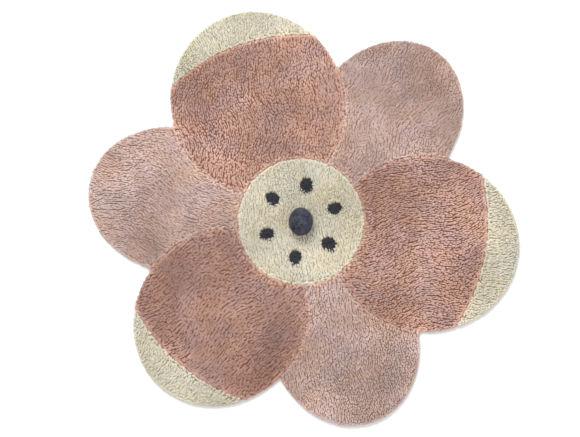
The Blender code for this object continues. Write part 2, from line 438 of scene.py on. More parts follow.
def table(points, turn, kind, wide, row=0, splay=None, skirt=False):
    """The columns of a set of tufts. splay is an added lean for tufts that bend aside."""
    count = len(points)
    kind = np.broadcast_to(kind, count).astype(int)
    to_rim, rim_way, _ = nearest(rim_tree, points)
    to_seam, seam_way, seam_point = nearest(seam_tree, points)
    reach = np.where(kind == CREAM, CREAM_REACH, RUST_REACH)
    rust = rust_share[seam_point] * np.clip(RUST_SLOPE - RUST_SLOPE * to_seam / reach, 0, 1)
    rust *= rng.uniform(*RUST_TAKEN, count) * np.array([RUST_ON_CREAM, 1, 1, 0])[kind]
    along_row = LEAN + LEAN_WAVE * waves(points, LEAN_WAVE_LENGTH, LEAN_SEED)
    lean = heading(turn) * along_row[:, None]
    lean += rng.normal(0, LEAN_SPREAD, (count, 2))
    lean += seam_way * (LEAN_TO_SEAM * nearness(to_seam, SEAM_PULL))[:, None]
    at_rim, at_seam = nearness(to_rim, RIM_PULL), nearness(to_seam, OPENED)
    lean += rim_way * (LEAN_TO_RIM * at_rim)[:, None]
    if splay is not None:
        lean += splay
    lean = held_back(lean, seam_way, to_seam - SEAM_ROOM + rng.normal(0, ROOM_SPREAD, count))
    lean = held_back(lean, rim_way, to_rim - RIM_ROOM)
    tips = points + lean
    rim_gap = nearest(rim_tree, tips)[0]
    inside = np.linalg.norm(tips, axis=1) < rug_edge(np.arctan2(tips[:, 1], tips[:, 0]))
    seam_gap = nearest(seam_tree, tips)[0]
    top = pile_height(np.where(inside, rim_gap, 0.0), seam_gap)
    uneven = TOP_WAVE * waves(points, TOP_WAVE_LENGTH, TOP_SEED)
    top += rng.normal(0, TOP_SPREAD, count) + uneven - TOP_WAVE
    out = off_ball(tips).clip(0, 1)
    under_ball = ball_centre[2] - ball_half[2] * np.sqrt(1 - out**2) - BALL_CLEARANCE
    top = np.minimum(top, under_ball)
    root = np.full(count, BED_TOP - ROOT_DEPTH)
    root -= ROOT_DROP * nearness(to_rim, DROP_REACH)
    if skirt:
        root[:], top = SKIRT_ROOT, SKIRT_TOP + rng.normal(0, TOP_SPREAD, count)
    wider = 1 + WIDER_AT_RIM * at_rim + WIDER_AT_SEAM * at_seam
    return {
        "root": np.column_stack([points + MIDDLE, root]),
        "rise": np.maximum(top - root, LEAST_RISE),
        "lean": np.column_stack([lean, np.zeros(count)]),
        "turn": turn + rng.normal(0, TURN_SPREAD, count),
        "wide": wide * rng.normal(wider, WIDTH_SPREAD).clip(*WIDTH_LIMITS),
        # A tuft's tone is random, and lighter near the rim as painted sheen
        "tone": rng.normal(PAINTED_RIM_SHEEN * at_rim, TONE_SPREAD).clip(*TONE_LIMITS),
        "rust": rust,
        "kind": kind,
        "row": np.broadcast_to(row, count).astype(int),
    }


def joined(tables):
    return {name: np.concatenate([one[name] for one in tables]) for name in tables[0]}


print("the tufts' random numbers start from", TUFT_SEED)

# %% Fill every area
HIDDEN_BY_BALL = 0.45  # of the ball's outline; nearer its middle nothing is tufted
PRESSED_ASIDE = 0.004  # by the ball
PRESSED_TO, PRESSED_FADE = 1.1, 0.5  # in the ball's own radii
AREA_SEED, SEEDS_APART = 100, 10  # for random numbers, of which each area takes three sets

tables = []
for index, area in enumerate(AREAS):
    rows = ROWS[area.colour]
    points, turn, number = bent_rows(area, AREA_SEED + SEEDS_APART * index)
    keep = (colour_of(points) == area.colour) & (owner_of(points) == area.petal)
    points, turn, number = points[keep], turn[keep], number[keep]
    edge = LINE_INSET + FILL_GAP * rows.pitch
    clear = (nearest(rim_tree, points)[0] > edge) & (nearest(seam_tree, points)[0] > edge)
    clear &= (off_ball(points) > HIDDEN_BY_BALL) & ~in_seed(points)
    points, turn, number = points[clear], turn[clear], number[clear]
    pressed = PRESSED_ASIDE * np.clip((PRESSED_TO - off_ball(points)) / PRESSED_FADE, 0, 1)
    splay = points / np.linalg.norm(points, axis=1)[:, None] * pressed[:, None]
    tables.append(table(points, turn, area.colour, rows.wide, row=number, splay=splay))
    print("area", index, KINDS[area.colour], len(points), "tufts")

# %% [markdown]
# ## The rows along the lines
#
# One row follows each side of a seam, and two follow the rim, the lower one as a
# skirt. They close the ragged ends that the filling rows leave there. An even row
# would look like piping, so its tufts stray from the line and turn every way.

# %% Follow the seams and the rim
LINE_SPACING, RIM_SPACING, RIM_UNRULY = 0.0049, 0.0045, 0.4
STRAY_ASIDE, STRAY_LIMITS, STRAY_ALONG = 0.0009, (-0.0015, 0.002), 0.0012
TURNED_ABOUT = 1.1  # radians
LEAST_INSET = 0.65  # of the row's inset, to any line


def follow(line, side, spacing=LINE_SPACING, inset=LINE_INSET, unruly=1.0, skirt=False):
    """One row of tufts beside a line, left out where another line is nearer."""
    path = spaced(line, spacing)
    run = np.gradient(path, axis=0)
    run /= np.linalg.norm(run, axis=1)[:, None]
    inset = inset + unruly * rng.normal(0, STRAY_ASIDE, len(path)).clip(*STRAY_LIMITS)
    points = path + across(run) * side * inset[:, None]
    points = points + run * rng.normal(0, STRAY_ALONG, len(path))[:, None]
    turn = np.arctan2(run[:, 1], run[:, 0]) + unruly * rng.normal(0, TURNED_ABOUT, len(path))
    near = np.minimum(nearest(rim_tree, points)[0], nearest(seam_tree, points)[0])
    colour = colour_of(points)
    keep = (near > LEAST_INSET * LINE_INSET) & (colour != OFF)
    points, turn, colour = points[keep], turn[keep], colour[keep]
    wide = np.array([ROWS[kind].wide for kind in (CREAM, DEEP, PALE)])[colour]
    return table(points, turn, colour, wide, row=np.arange(len(points)), skirt=skirt)


for line in seam_lines:
    tables += [follow(line, side) for side in (1, -1)]
tables.append(follow(rim_line, 1, RIM_SPACING, unruly=RIM_UNRULY))
tables.append(follow(rim_line, 1, RIM_SPACING, SKIRT_INSET, unruly=RIM_UNRULY, skirt=True))
print("tufts along the lines", sum(len(one["rise"]) for one in tables[len(AREAS):]))

# %% [markdown]
# ## Seeds
#
# The charcoal seeds are small spots of finer tufts. Their outer tufts splay over
# the cream, which gives the spots their ragged edge. A sunflower spiral packs
# round spots evenly at any size, so each seed is one short formula.

# %% Ring the ball with seeds
GOLDEN_TURN = math.pi * (3 - math.sqrt(5))
TUFTS_IN_SEED, SEED_TUFT_WIDE = 96, 0.0021
SPIRAL_GROWTH = 0.6  # 0.5 would space the tufts evenly; more crowds them to the middle
SEED_SPLAY, SPLAY_AT = 0.0028, 0.016  # the lean of a tip, that far from the seed's middle
for index in range(SEED_COUNT):
    out = seed_way(index)
    step = np.arange(TUFTS_IN_SEED) + 0.5
    reach = (step / TUFTS_IN_SEED) ** SPIRAL_GROWTH
    spiral = heading(step * GOLDEN_TURN + index) * reach[:, None]
    spiral = spiral * (SEED_LENGTH / 2 - SEED_MARGIN, SEED_WIDTH / 2 - SEED_MARGIN)
    points = out * (SEED_RING + spiral[:, :1]) + across(out) * spiral[:, 1:]
    away = points - out * SEED_RING
    splay = away / SPLAY_AT * SEED_SPLAY
    turn = np.arctan2(away[:, 1], away[:, 0]) + (1 - reach) * rng.normal(0, 1, len(reach))
    tables.append(table(points, turn, CHARCOAL, SEED_TUFT_WIDE, splay=splay))

tufts = joined(tables)
print("tufts in all", len(tufts["rise"]), np.bincount(tufts["kind"]))

# %% [markdown]
# ## A small kit for node trees
#
# Both geometry and materials are node trees here. Adding a node, setting it up
# and linking it takes four lines each time, so a helper does it in one. Sums and
# vector sums are short functions too, and then a tree reads like a formula.

# %% Helpers for nodes
NODE_STEP = 180  # from one node to the next in the editor


def add(tree, kind, inputs=None, **settings):
    """Adds a node. Each input, by name or number, gets a link or a plain value."""
    node = tree.nodes.new(kind)
    node.location.x = NODE_STEP * len(tree.nodes)
    for name, value in settings.items():
        setattr(node, name, value)
    for name, value in (inputs or {}).items():
        if isinstance(value, bpy.types.NodeSocket):
            tree.links.new(value, node.inputs[name])
        else:
            node.inputs[name].default_value = value
    return node


def maths(tree, operation, *values):
    return add(tree, "ShaderNodeMath", dict(enumerate(values)), operation=operation).outputs[0]


def vectors(tree, operation, *values):
    node = add(tree, "ShaderNodeVectorMath", dict(enumerate(values)), operation=operation)
    return node.outputs["Value" if operation == "DOT_PRODUCT" else "Vector"]


def scaled(tree, vector, factor):
    inputs = {0: vector, "Scale": factor}
    return add(tree, "ShaderNodeVectorMath", inputs, operation="SCALE").outputs["Vector"]


def geo(tree, kind, inputs=None, **settings):
    """The first output of a Geometry Nodes node, named without the words they all start with."""
    return add(tree, "GeometryNode" + kind, inputs, **settings).outputs[0]


def new_group(name, kind, inputs, outputs):
    """A node group with named sockets, and its input and output nodes."""
    tree = bpy.data.node_groups.new(name, kind)
    for in_out, sockets in (("INPUT", inputs), ("OUTPUT", outputs)):
        for label, (socket_type, *value) in sockets.items():
            made = tree.interface.new_socket(label, in_out=in_out, socket_type=socket_type)
            if value:
                made.default_value = value[0]
    return tree, add(tree, "NodeGroupInput").outputs, add(tree, "NodeGroupOutput").inputs


helpers = (add, maths, vectors, scaled, geo, new_group)
print("helpers", [helper.__name__ for helper in helpers])

# %% [markdown]
# ## A tuft
#
# A tuft is one yarn end: narrow where it leaves the cloth, fuller where its
# fibres open, and rounded by the shears. Real tufts hold hundreds of fibres, too
# many to model, so each is one soft-edged tube that leans and bulges. The tree
# sets an upright line on each point, gives it round level sections, as the
# shears cut them, and leans the whole by the point's own columns. One tree
# serves all the pile, whatever its colour.

# %% What a tuft's tree takes in
GEOMETRY, WHOLE, REAL = "NodeSocketGeometry", "NodeSocketInt", "NodeSocketFloat"
TUFT_SHAPE = ((0.0, 0.85), (0.75, 1.0), (1.0, 0.34))  # how far up, and how wide
TIP_CROWDING = 2.0  # rings stand closer towards the tip, where the shape turns
LEAN_CURVE = 1.5  # the lean grows towards the tip
NOISE_MIDDLE = (0.5, 0.5, 0.5)


def named(tree, name, kind="FLOAT"):
    return geo(tree, "InputNamedAttribute", {"Name": name}, data_type=kind)


def stored(tree, geometry, name, value, kind="FLOAT"):
    inputs = {"Geometry": geometry, "Name": name, "Value": value}
    return geo(tree, "StoreNamedAttribute", inputs, data_type=kind)


tuft_tree, given, result = new_group(
    "tufts on points",
    "GeometryNodeTree",
    {
        "Points": (GEOMETRY,),
        "Sides": (WHOLE, 5),
        "Rings": (WHOLE, 3),
        "Stretch along row": (REAL, 0.8),
        "Raggedness": (REAL, 0.0011),
        "Raggedness size": (REAL, 0.004),
        "Seed": (REAL, 5.0),
        "Wool": ("NodeSocketMaterial",),
    },
    {"Pile": (GEOMETRY,)},
)
print("a tuft's tree takes", [socket.name for socket in given if socket.name])

# %% Stand an upright yarn on each point
tree = tuft_tree
line = geo(tree, "CurvePrimitiveLine", {"Start": (0, 0, 0), "End": (0, 0, 1)})
line = geo(tree, "ResampleCurve", {"Curve": line, "Count": given["Rings"]})
copies = {"Points": given["Points"], "Instance": line}
yarn = geo(tree, "InstanceOnPoints", copies)
yarn = geo(tree, "RealizeInstances", {"Geometry": yarn})
factor = add(tree, "GeometryNodeSplineParameter").outputs["Factor"]
left = maths(tree, "POWER", maths(tree, "SUBTRACT", 1.0, factor), TIP_CROWDING)
yarn = stored(tree, yarn, "along", maths(tree, "SUBTRACT", 1.0, left))
along = named(tree, "along")
up = add(tree, "ShaderNodeCombineXYZ", {"Z": maths(tree, "MULTIPLY", named(tree, "rise"), along)})
root = named(tree, "root", "FLOAT_VECTOR")
place = vectors(tree, "ADD", root, up.outputs[0])
yarn = geo(tree, "SetPosition", {"Geometry": yarn, "Position": place})
turn = named(tree, "turn")
yarn = geo(tree, "SetCurveTilt", {"Curve": yarn, "Tilt": turn})
print("upright yarn", len(tree.nodes), "nodes")

# %% Give it its thickness
ring = geo(tree, "CurvePrimitiveCircle", {"Resolution": given["Sides"], "Radius": 1.0})
ring = stored(tree, ring, "around", factor)
shape = add(tree, "ShaderNodeFloatCurve", {"Value": along})
curve = shape.mapping.curves[0]
for spot in TUFT_SHAPE[1:-1]:
    curve.points.new(*spot)
curve.points[0].location, curve.points[-1].location = TUFT_SHAPE[0], TUFT_SHAPE[-1]
shape.mapping.update()
width = maths(tree, "MULTIPLY", named(tree, "wide"), shape.outputs[0])
tube = {"Curve": yarn, "Profile Curve": ring, "Scale": width, "Fill Caps": True}
pile = geo(tree, "CurveToMesh", tube)
print("with its thickness", len(tree.nodes), "nodes")

# %% Lean it and fray it
here = geo(tree, "InputPosition")
row_x, row_y = maths(tree, "COSINE", turn), maths(tree, "SINE", turn)
row_way = add(tree, "ShaderNodeCombineXYZ", {"X": row_x, "Y": row_y}).outputs[0]
off = vectors(tree, "SUBTRACT", here, root)
stretch = vectors(tree, "DOT_PRODUCT", off, row_way)
stretch = maths(tree, "MULTIPLY", stretch, given["Stretch along row"])
size = maths(tree, "DIVIDE", 1.0, given["Raggedness size"])
ragged = {"Vector": here, "W": given["Seed"], "Scale": size, "Detail": 1.0}
ragged = add(tree, "ShaderNodeTexNoise", ragged, noise_dimensions="4D").outputs["Color"]
ragged = scaled(tree, vectors(tree, "SUBTRACT", ragged, NOISE_MIDDLE), given["Raggedness"])
lean = scaled(tree, named(tree, "lean", "FLOAT_VECTOR"), maths(tree, "POWER", along, LEAN_CURVE))
shift = vectors(tree, "ADD", vectors(tree, "ADD", scaled(tree, row_way, stretch), ragged), lean)
pile = geo(tree, "SetPosition", {"Geometry": pile, "Offset": shift})
pile = geo(tree, "SetShadeSmooth", {"Geometry": pile})
pile = geo(tree, "RealizeInstances", {"Geometry": pile})
pile = geo(tree, "SetMaterial", {"Geometry": pile, "Material": given["Wool"]})
tree.links.new(pile, result["Pile"])
print("the whole tuft", len(tree.nodes), "nodes")

# %% [markdown]
# ## Wool
#
# Dyed wool is never one colour. Each yarn took the dye a little differently, and
# feet and sun leave patches that drift to orange, mauve or beige. The group also
# paints light and shade: roots darker and redder than tips, where light reaches
# them less, and broad lighter and darker patches, partly the wool's own tone and
# partly the shading of the pile's lean. All the wools share these effects, so they
# are one node group, and each wool gives it its own colour. The fine bump is fibre:
# noise stretched along the yarn.

# %% Helpers for colours
MOST_NOISE = (0.3, 0.7)  # where a noise's values mostly lie


def column(tree, name):
    """One of a mesh's columns, read by a material."""
    return add(tree, "ShaderNodeAttribute", attribute_name=name).outputs["Fac"]


def mixed(tree, factor, one, other):
    """One colour where the factor is 0, the other where it is 1."""
    node = add(tree, "ShaderNodeMix", data_type="RGBA")
    sockets = [socket for socket in node.inputs if socket.enabled]
    for socket, value in zip(sockets, (factor, one, other)):
        if isinstance(value, bpy.types.NodeSocket):
            tree.links.new(value, socket)
        else:
            socket.default_value = value if isinstance(value, float) else (*value[:3], 1)
    return next(socket for socket in node.outputs if socket.enabled)


def ranged(tree, value, low, high, new_low, new_high):
    inputs = {"Value": value, "From Min": low, "From Max": high}
    inputs |= {"To Min": new_low, "To Max": new_high}
    return add(tree, "ShaderNodeMapRange", inputs).outputs["Result"]


def noise_of(tree, at, scale, detail=2.0, distortion=0.0):
    inputs = {"Vector": at, "Scale": scale, "Detail": detail, "Distortion": distortion}
    return add(tree, "ShaderNodeTexNoise", inputs).outputs["Fac"]


def spread(tree, texture, low, high):
    """Most of a noise's values, spread from low to high."""
    return ranged(tree, texture, *MOST_NOISE, low, high)


print("helpers", [helper.__name__ for helper in (column, mixed, ranged, noise_of, spread)])

# %% The wool group
COLOUR, BUMP_DEPTH = "NodeSocketColor", 0.0006
PATCH_SCALE, DRIFT_SCALE, MOTTLE_SCALE = 3.4, 10.8, 24.0  # per metre
PLY_SCALE, FIBRE_SCALE = 430.0, 1100.0
PATCH_SHARE = 1.5  # of the broad patches, where each wool's Mottle is the small ones' share
WARM, COOL = (1.06, 0.99, 0.89), (0.965, 0.985, 1.06)
DRIFT_PLACE = (3.0, 1.0, 0.0)  # so that the drift doesn't follow the patches
UPRIGHT = (1.0, 1.0, 0.15)  # draws noise out along the yarns
ROOT_REACH = 1.6  # the higher, the further up the painted root shade reaches
LEAST_OUT_OF_SHADE = 0.65  # of a tip's share of its own colour, where the patches paint the most shade
CLOUDED, DRIFTED = (-1.2, 1.2), (0.35, 0.65)  # the values from which the painted shade's patches and the drift are spread
STRAND_TONES, STREAK_TONES = (0.88, 1.1), (0.92, 1.07)  # darkest and lightest
WOOL_ROUGHNESS = (0.98, 0.86)
PLY_HEIGHT = 1.5  # of the bump, where the fibres' height is 1
wool_group, given, result = new_group(
    "wool",
    "ShaderNodeTree",
    {
        "Tip dye": (COLOUR,),
        "Shaded root dye": (COLOUR,),
        "Rust dye": (COLOUR,),
        "Patches": (REAL, 0.1),
        "Mottle": (REAL, 0.7),
        "Tone spread": (REAL, 0.12),
        "Drift": (REAL, 1.0),
    },
    {"Colour": (COLOUR,), "Roughness": (REAL,), "Fibres": (REAL,)},
)
tree = wool_group
at = add(tree, "ShaderNodeTexCoord").outputs["Object"]
patch = spread(tree, noise_of(tree, at, PATCH_SCALE, detail=1.0), -1.0, 1.0)
mottle = spread(tree, noise_of(tree, at, MOTTLE_SCALE), -1.0, 1.0)
drift = noise_of(tree, vectors(tree, "ADD", at, DRIFT_PLACE), DRIFT_SCALE)
upright = vectors(tree, "MULTIPLY", at, UPRIGHT)
plies = noise_of(tree, upright, PLY_SCALE, detail=1.0)
fibre = noise_of(tree, upright, FIBRE_SCALE, detail=3.0)

dye = mixed(tree, column(tree, "rust"), given["Tip dye"], given["Rust dye"])
mottle = maths(tree, "MULTIPLY", mottle, given["Mottle"])
cloud = maths(tree, "MULTIPLY_ADD", patch, PATCH_SHARE, mottle)
# Painted shade: each tuft darkens and reddens from its tip down to its root, where little light
# reaches between the tufts
out_of_shade = maths(tree, "POWER", column(tree, "along"), ROOT_REACH)
out_of_shade = maths(tree, "MULTIPLY", out_of_shade, ranged(tree, cloud, *CLOUDED, LEAST_OUT_OF_SHADE, 1.0))
dye = mixed(tree, out_of_shade, given["Shaded root dye"], dye)
drift = ranged(tree, drift, *DRIFTED, -0.5, 0.5)
drift = maths(tree, "MULTIPLY_ADD", drift, given["Drift"], 0.5)
dye = vectors(tree, "MULTIPLY", dye, mixed(tree, drift, WARM, COOL))
# Broad patches lighten and darken the wool: partly its own tone, partly painted light and shade of
# the pile's lean towards or away from the lamp
patch_tone_and_shade = maths(tree, "MULTIPLY_ADD", cloud, given["Patches"], 1.0)
tone = maths(tree, "MULTIPLY_ADD", column(tree, "tone"), given["Tone spread"], 1.0)
strand = spread(tree, plies, *STRAND_TONES)
streak = spread(tree, fibre, *STREAK_TONES)
for factor in (patch_tone_and_shade, tone, strand, streak):
    dye = scaled(tree, dye, factor)
tree.links.new(dye, result["Colour"])
tree.links.new(spread(tree, fibre, *WOOL_ROUGHNESS), result["Roughness"])
tree.links.new(maths(tree, "MULTIPLY_ADD", plies, PLY_HEIGHT, fibre), result["Fibres"])
print("wool group", len(tree.nodes), "nodes")

# %% [markdown]
# ## The dyes
#
# Base colours are linear light, as the shader wants them. The tips carry the
# wool's own colour, and the roots are painted shade, darker and redder: between
# the tufts the light bounces from yarn to yarn and takes up more of that dye each
# time, so the gaps look deep red and not grey.

# %% Materials for the pile
Dye = namedtuple("Dye", "tip root")
# Each root colour is painted shade: darker and more saturated than its tip, for the shade between
# the tufts
DYES = {
    "cream": Dye(tip=(0.668, 0.632, 0.534), root=(0.59, 0.555, 0.395)),
    "deep": Dye(tip=(0.514, 0.352, 0.305), root=(0.343, 0.149, 0.097)),
    "pale": Dye(tip=(0.56, 0.44, 0.406), root=(0.47, 0.30, 0.24)),
    "charcoal": Dye(tip=(0.020, 0.020, 0.033), root=(0.010, 0.010, 0.018)),
}
RUST = (0.68, 0.43, 0.33)
WOOL_SHEEN, NO_SHEEN = (0.15, 0.5), (0.0, 0.5)  # weight and roughness


def new_material(name):
    """A material with a node tree, and that tree."""
    material = bpy.data.materials.new(name)
    material.use_nodes = True
    return material, material.node_tree


def finish(material, colour, roughness, height, depth, sheen=NO_SHEEN):
    """Wires a material's shader from a node tree's colour, roughness and height."""
    tree = material.node_tree
    shader = tree.nodes["Principled BSDF"]
    bump = add(tree, "ShaderNodeBump", {"Height": height, "Distance": depth, "Strength": 1.0})
    tree.links.new(colour, shader.inputs["Base Color"])
    tree.links.new(roughness, shader.inputs["Roughness"])
    tree.links.new(bump.outputs[0], shader.inputs["Normal"])
    for name, value in zip(("Sheen Weight", "Sheen Roughness"), sheen):
        shader.inputs[name].default_value = value


def wool(name, dye, other_dye, look):
    """A wool of one dye, or of another dye where a tuft's pale column says so."""
    material, tree = new_material(name)
    pale = column(tree, "pale")
    # root is the painted shade at a tuft's foot, tip the wool's own colour
    tip, root = (mixed(tree, pale, *pair) for pair in zip(DYES[dye], DYES[other_dye]))
    inputs = {"Tip dye": tip, "Shaded root dye": root, "Rust dye": (*RUST, 1)}
    inputs |= {"Patches": look.patches, "Mottle": look.mottle}
    inputs |= {"Tone spread": look.tone_spread, "Drift": look.drift}
    outputs = add(tree, "ShaderNodeGroup", inputs, node_tree=wool_group).outputs
    finish(material, *outputs, BUMP_DEPTH, WOOL_SHEEN)
    return material


Look = namedtuple("Look", "patches mottle tone_spread drift")
LOOKS = {
    "cream": Look(patches=0.10, mottle=0.3, tone_spread=0.10, drift=0.5),
    "deep": Look(patches=0.14, mottle=0.6, tone_spread=0.11, drift=1.0),
    "pale": Look(patches=0.14, mottle=0.7, tone_spread=0.05, drift=0.8),
    "charcoal": Look(patches=0.10, mottle=0.7, tone_spread=0.5, drift=0.0),
    "seam": Look(patches=0.10, mottle=0.7, tone_spread=0.2, drift=0.7),
}
WOOLS = {kind: wool(name + " wool", name, name, LOOKS[name]) for kind, name in enumerate(KINDS)}
seam_wool = wool("rust seam wool", "deep", "pale", LOOKS["seam"])
print("wools", [material.name for material in (*WOOLS.values(), seam_wool)])

# %% [markdown]
# ## Grow the pile
#
# Each wool's tufts become one or two pieces, so that no piece grows too heavy to
# handle. Odd and even rows part a wool in two without a visible join. Every tuft
# also gets its own small square of a UV map, with the yarn's length up one side,
# because a baked picture then holds each tuft's own colours.

# %% From a tree's result to a plain mesh
def placed(name, data):
    """A new object in the scene."""
    made = bpy.data.objects.new(name, data)
    bpy.context.scene.collection.objects.link(made)
    return made


def set_input(modifier, name, value):
    """Geometry Nodes know their inputs by identifiers, and people by names."""
    for item in modifier.node_group.interface.items_tree:
        if item.in_out == "INPUT" and item.name == name:
            modifier[item.identifier] = value


def applied(obj):
    """Gives the object its modifiers' result as its own mesh."""
    evaluated = obj.evaluated_get(bpy.context.evaluated_depsgraph_get())
    mesh = bpy.data.meshes.new_from_object(evaluated)
    obj.modifiers.clear()
    obj.data = mesh
    mesh.name = obj.name


print("helpers", [helper.__name__ for helper in (placed, set_input, applied)])

# %% A small square of the map for each tuft
CELL_EDGE, SIDES_TOP = 0.06, 0.60  # shares of a tuft's square
TIP_SPOT, TIP_SIZE = (0.28, 0.81), 0.15
ROOT_SPOT, ROOT_SIZE = (0.76, 0.81), 0.09
NO_TURN, FAR_ROUND = 0.01, 0.7  # of a turn round the yarn: as good as none, and a ring's last side


def read(mesh, name):
    """The values of one of a mesh's columns, point by point."""
    values = np.empty(len(mesh.attributes[name].data))
    mesh.attributes[name].data.foreach_get("value", values)
    return values


def map_tufts(mesh, count):
    """A UV map with a square for each tuft: its side unrolled, its tip and its root."""
    corner_vertex = np.empty(len(mesh.loops), int)
    mesh.loops.foreach_get("vertex_index", corner_vertex)
    corners = np.empty(len(mesh.polygons), int)
    mesh.polygons.foreach_get("loop_total", corners)
    face = np.repeat(np.arange(len(corners)), corners)
    around, along = read(mesh, "around")[corner_vertex], read(mesh, "along")[corner_vertex]
    last = np.maximum.reduceat(around, np.concatenate([[0], np.cumsum(corners)[:-1]]))
    side = corners[face] == 4
    # On the face that closes a ring, the corners at 0 stand for 1
    wrapped = side & (around < NO_TURN) & (last[face] > FAR_ROUND)
    turn = np.where(wrapped, 1.0, around)
    room = np.array([1 - 2 * CELL_EDGE, SIDES_TOP - CELL_EDGE])
    square = CELL_EDGE + room * np.stack([turn, along], 1)
    for spot, size, cap in (
        (TIP_SPOT, TIP_SIZE, ~side & (along > 0.5)),
        (ROOT_SPOT, ROOT_SIZE, ~side & (along <= 0.5)),
    ):
        square[cap] = spot + heading(2 * np.pi * around[cap]) * size
    number = read(mesh, "number")[corner_vertex].astype(int)
    columns = math.ceil(math.sqrt(count))
    cell = np.stack([number % columns, number // columns], 1)
    uv = mesh.uv_layers.new(name="OFBake")
    uv.data.foreach_set("uv", ((cell + square) / columns).astype(np.float32).ravel())


side_share = (1 - 2 * CELL_EDGE) * (SIDES_TOP - CELL_EDGE)
print("a tuft's side takes", round(side_share, 2), "of its square")

# %% From the table to one piece
COLUMN_KINDS = dict.fromkeys(("root", "lean"), "FLOAT_VECTOR")
COLUMN_KINDS |= dict.fromkeys(("rise", "turn", "wide", "tone", "rust", "pale"), "FLOAT")
COLUMN_KINDS["number"] = "INT"
KEPT_COLUMNS = ("tone", "rust", "pale")  # which the wool reads


def grow(name, chosen, material):
    """One piece of pile from the chosen rows of the table."""
    rows = {name: values[chosen] for name, values in tufts.items()}
    rows["number"] = np.arange(chosen.sum())
    mesh = bpy.data.meshes.new(name)
    mesh.from_pydata(rows["root"], [], [])
    for column_name, kind in COLUMN_KINDS.items():
        made = mesh.attributes.new(column_name, kind, "POINT")
        field = "vector" if kind == "FLOAT_VECTOR" else "value"
        made.data.foreach_set(field, np.ravel(rows[column_name]))
    piece = placed(name, mesh)
    modifier = piece.modifiers.new("tufts", "NODES")
    modifier.node_group = tuft_tree
    set_input(modifier, "Wool", material)
    applied(piece)
    map_tufts(piece.data, len(rows["rise"]))
    attributes = piece.data.attributes
    for spare in (*COLUMN_KINDS, "around"):
        if spare not in KEPT_COLUMNS:
            attributes.remove(attributes[spare])
    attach(piece, "root")
    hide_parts("rug")
    piece.data.calc_loop_triangles()
    print(name, len(rows["rise"]), "tufts,", len(piece.data.loop_triangles), "triangles")
    return piece


print("columns", COLUMN_KINDS)

# %% Grow every piece of pile
RUSTED = 0.12  # the share of rust from which a rose tuft belongs to the seam rows
tufts["pale"] = (tufts["kind"] == PALE).astype(float)
on_seam = (tufts["rust"] > RUSTED) & (tufts["kind"] != CREAM)
odd = tufts["row"] % 2 == 1
SLOTS = {CREAM: "cream_pile", DEEP: "deep_rose_pile", PALE: "pale_rose_pile"}
for kind, slot in SLOTS.items():
    chosen = (tufts["kind"] == kind) & ~on_seam
    grow(slot + "_odd_rows", chosen & odd, WOOLS[kind])
    grow(slot + "_even_rows", chosen & ~odd, WOOLS[kind])
grow("rust_seam_rows", on_seam, seam_wool)
chosen = tufts["kind"] == CHARCOAL
grow("charcoal_seeds", chosen, WOOLS[CHARCOAL])

# %% [markdown]
# ## The cloth under the pile
#
# The tufts stand in a woven cotton cloth whose back is coated. It is the sheet
# that the rug is cut from, so one closed mesh serves: a plain woven underside, a
# thin side, and a top painted in the roots' shaded colours and darker still, as
# painted shade under the pile, which hides it almost everywhere. Rings from the
# middle to the rim follow the outline better than a square grid would.

# %% The cloth's mesh
SPOKES, RINGS = 480, 24
CLOTH_INSET, CLOTH_THICKNESS = 0.004, 0.003
SIDE = ((0.0015, 0.0), (0.0, 0.0008), (0.0, CLOTH_THICKNESS), (0.0018, BED_TOP))  # inset, height
JUST_INSIDE = 0.99  # of the reach, so that a point on the edge still has a colour


def level_ring(turn, reach, height):
    """Points round the middle, all at one height."""
    return np.column_stack([heading(turn) * reach[:, None] + MIDDLE, np.full(SPOKES, height)])


def ground_mesh():
    """Rings round the cloth: its side first, from the floor up, then its top, inwards."""
    turn = np.arange(SPOKES) * 2 * np.pi / SPOKES
    edge = rug_edge(turn) - CLOTH_INSET
    rings = [level_ring(turn, edge - inset, height) for inset, height in SIDE]
    for ring in range(1, RINGS):
        share = 1 - ring / RINGS
        rings.append(level_ring(turn, (edge - SIDE[-1][0]) * share, BED_TOP))
    points = np.concatenate([*rings, [[*MIDDLE, BED_TOP]], [[*MIDDLE, 0.0]]])
    top, under = len(points) - 2, len(points) - 1
    after = (np.arange(SPOKES) + 1) % SPOKES
    faces = []
    for ring in range(len(rings) - 1):
        low, high = ring * SPOKES, (ring + 1) * SPOKES
        faces += [(low + i, low + after[i], high + after[i], high + i) for i in range(SPOKES)]
    last = (len(rings) - 1) * SPOKES
    faces += [(last + i, last + after[i], top) for i in range(SPOKES)]
    faces += [(after[i], i, under) for i in range(SPOKES)]
    mesh = bpy.data.meshes.new("backing_cloth")
    mesh.from_pydata(points, [], faces)
    mesh.update()
    return mesh


cloth = placed("backing_cloth", ground_mesh())
heights = np.array([vertex.co.z for vertex in cloth.data.vertices])
flat_places = np.array([vertex.co.xy for vertex in cloth.data.vertices]) - MIDDLE
# The cloth's top takes the painted shade of the roots above it
kinds = colour_of(flat_places * JUST_INSIDE)
shaded_root_dyes = np.array([DYES[KINDS[min(kind, PALE)]].root for kind in kinds])
shaded_root_dye = cloth.data.attributes.new("shaded_root_dye", "FLOAT_COLOR", "POINT")
shaded_root_dye.data.foreach_set("color", np.column_stack([shaded_root_dyes, np.ones(len(kinds))]).ravel())
print("cloth mesh", len(heights), "points")

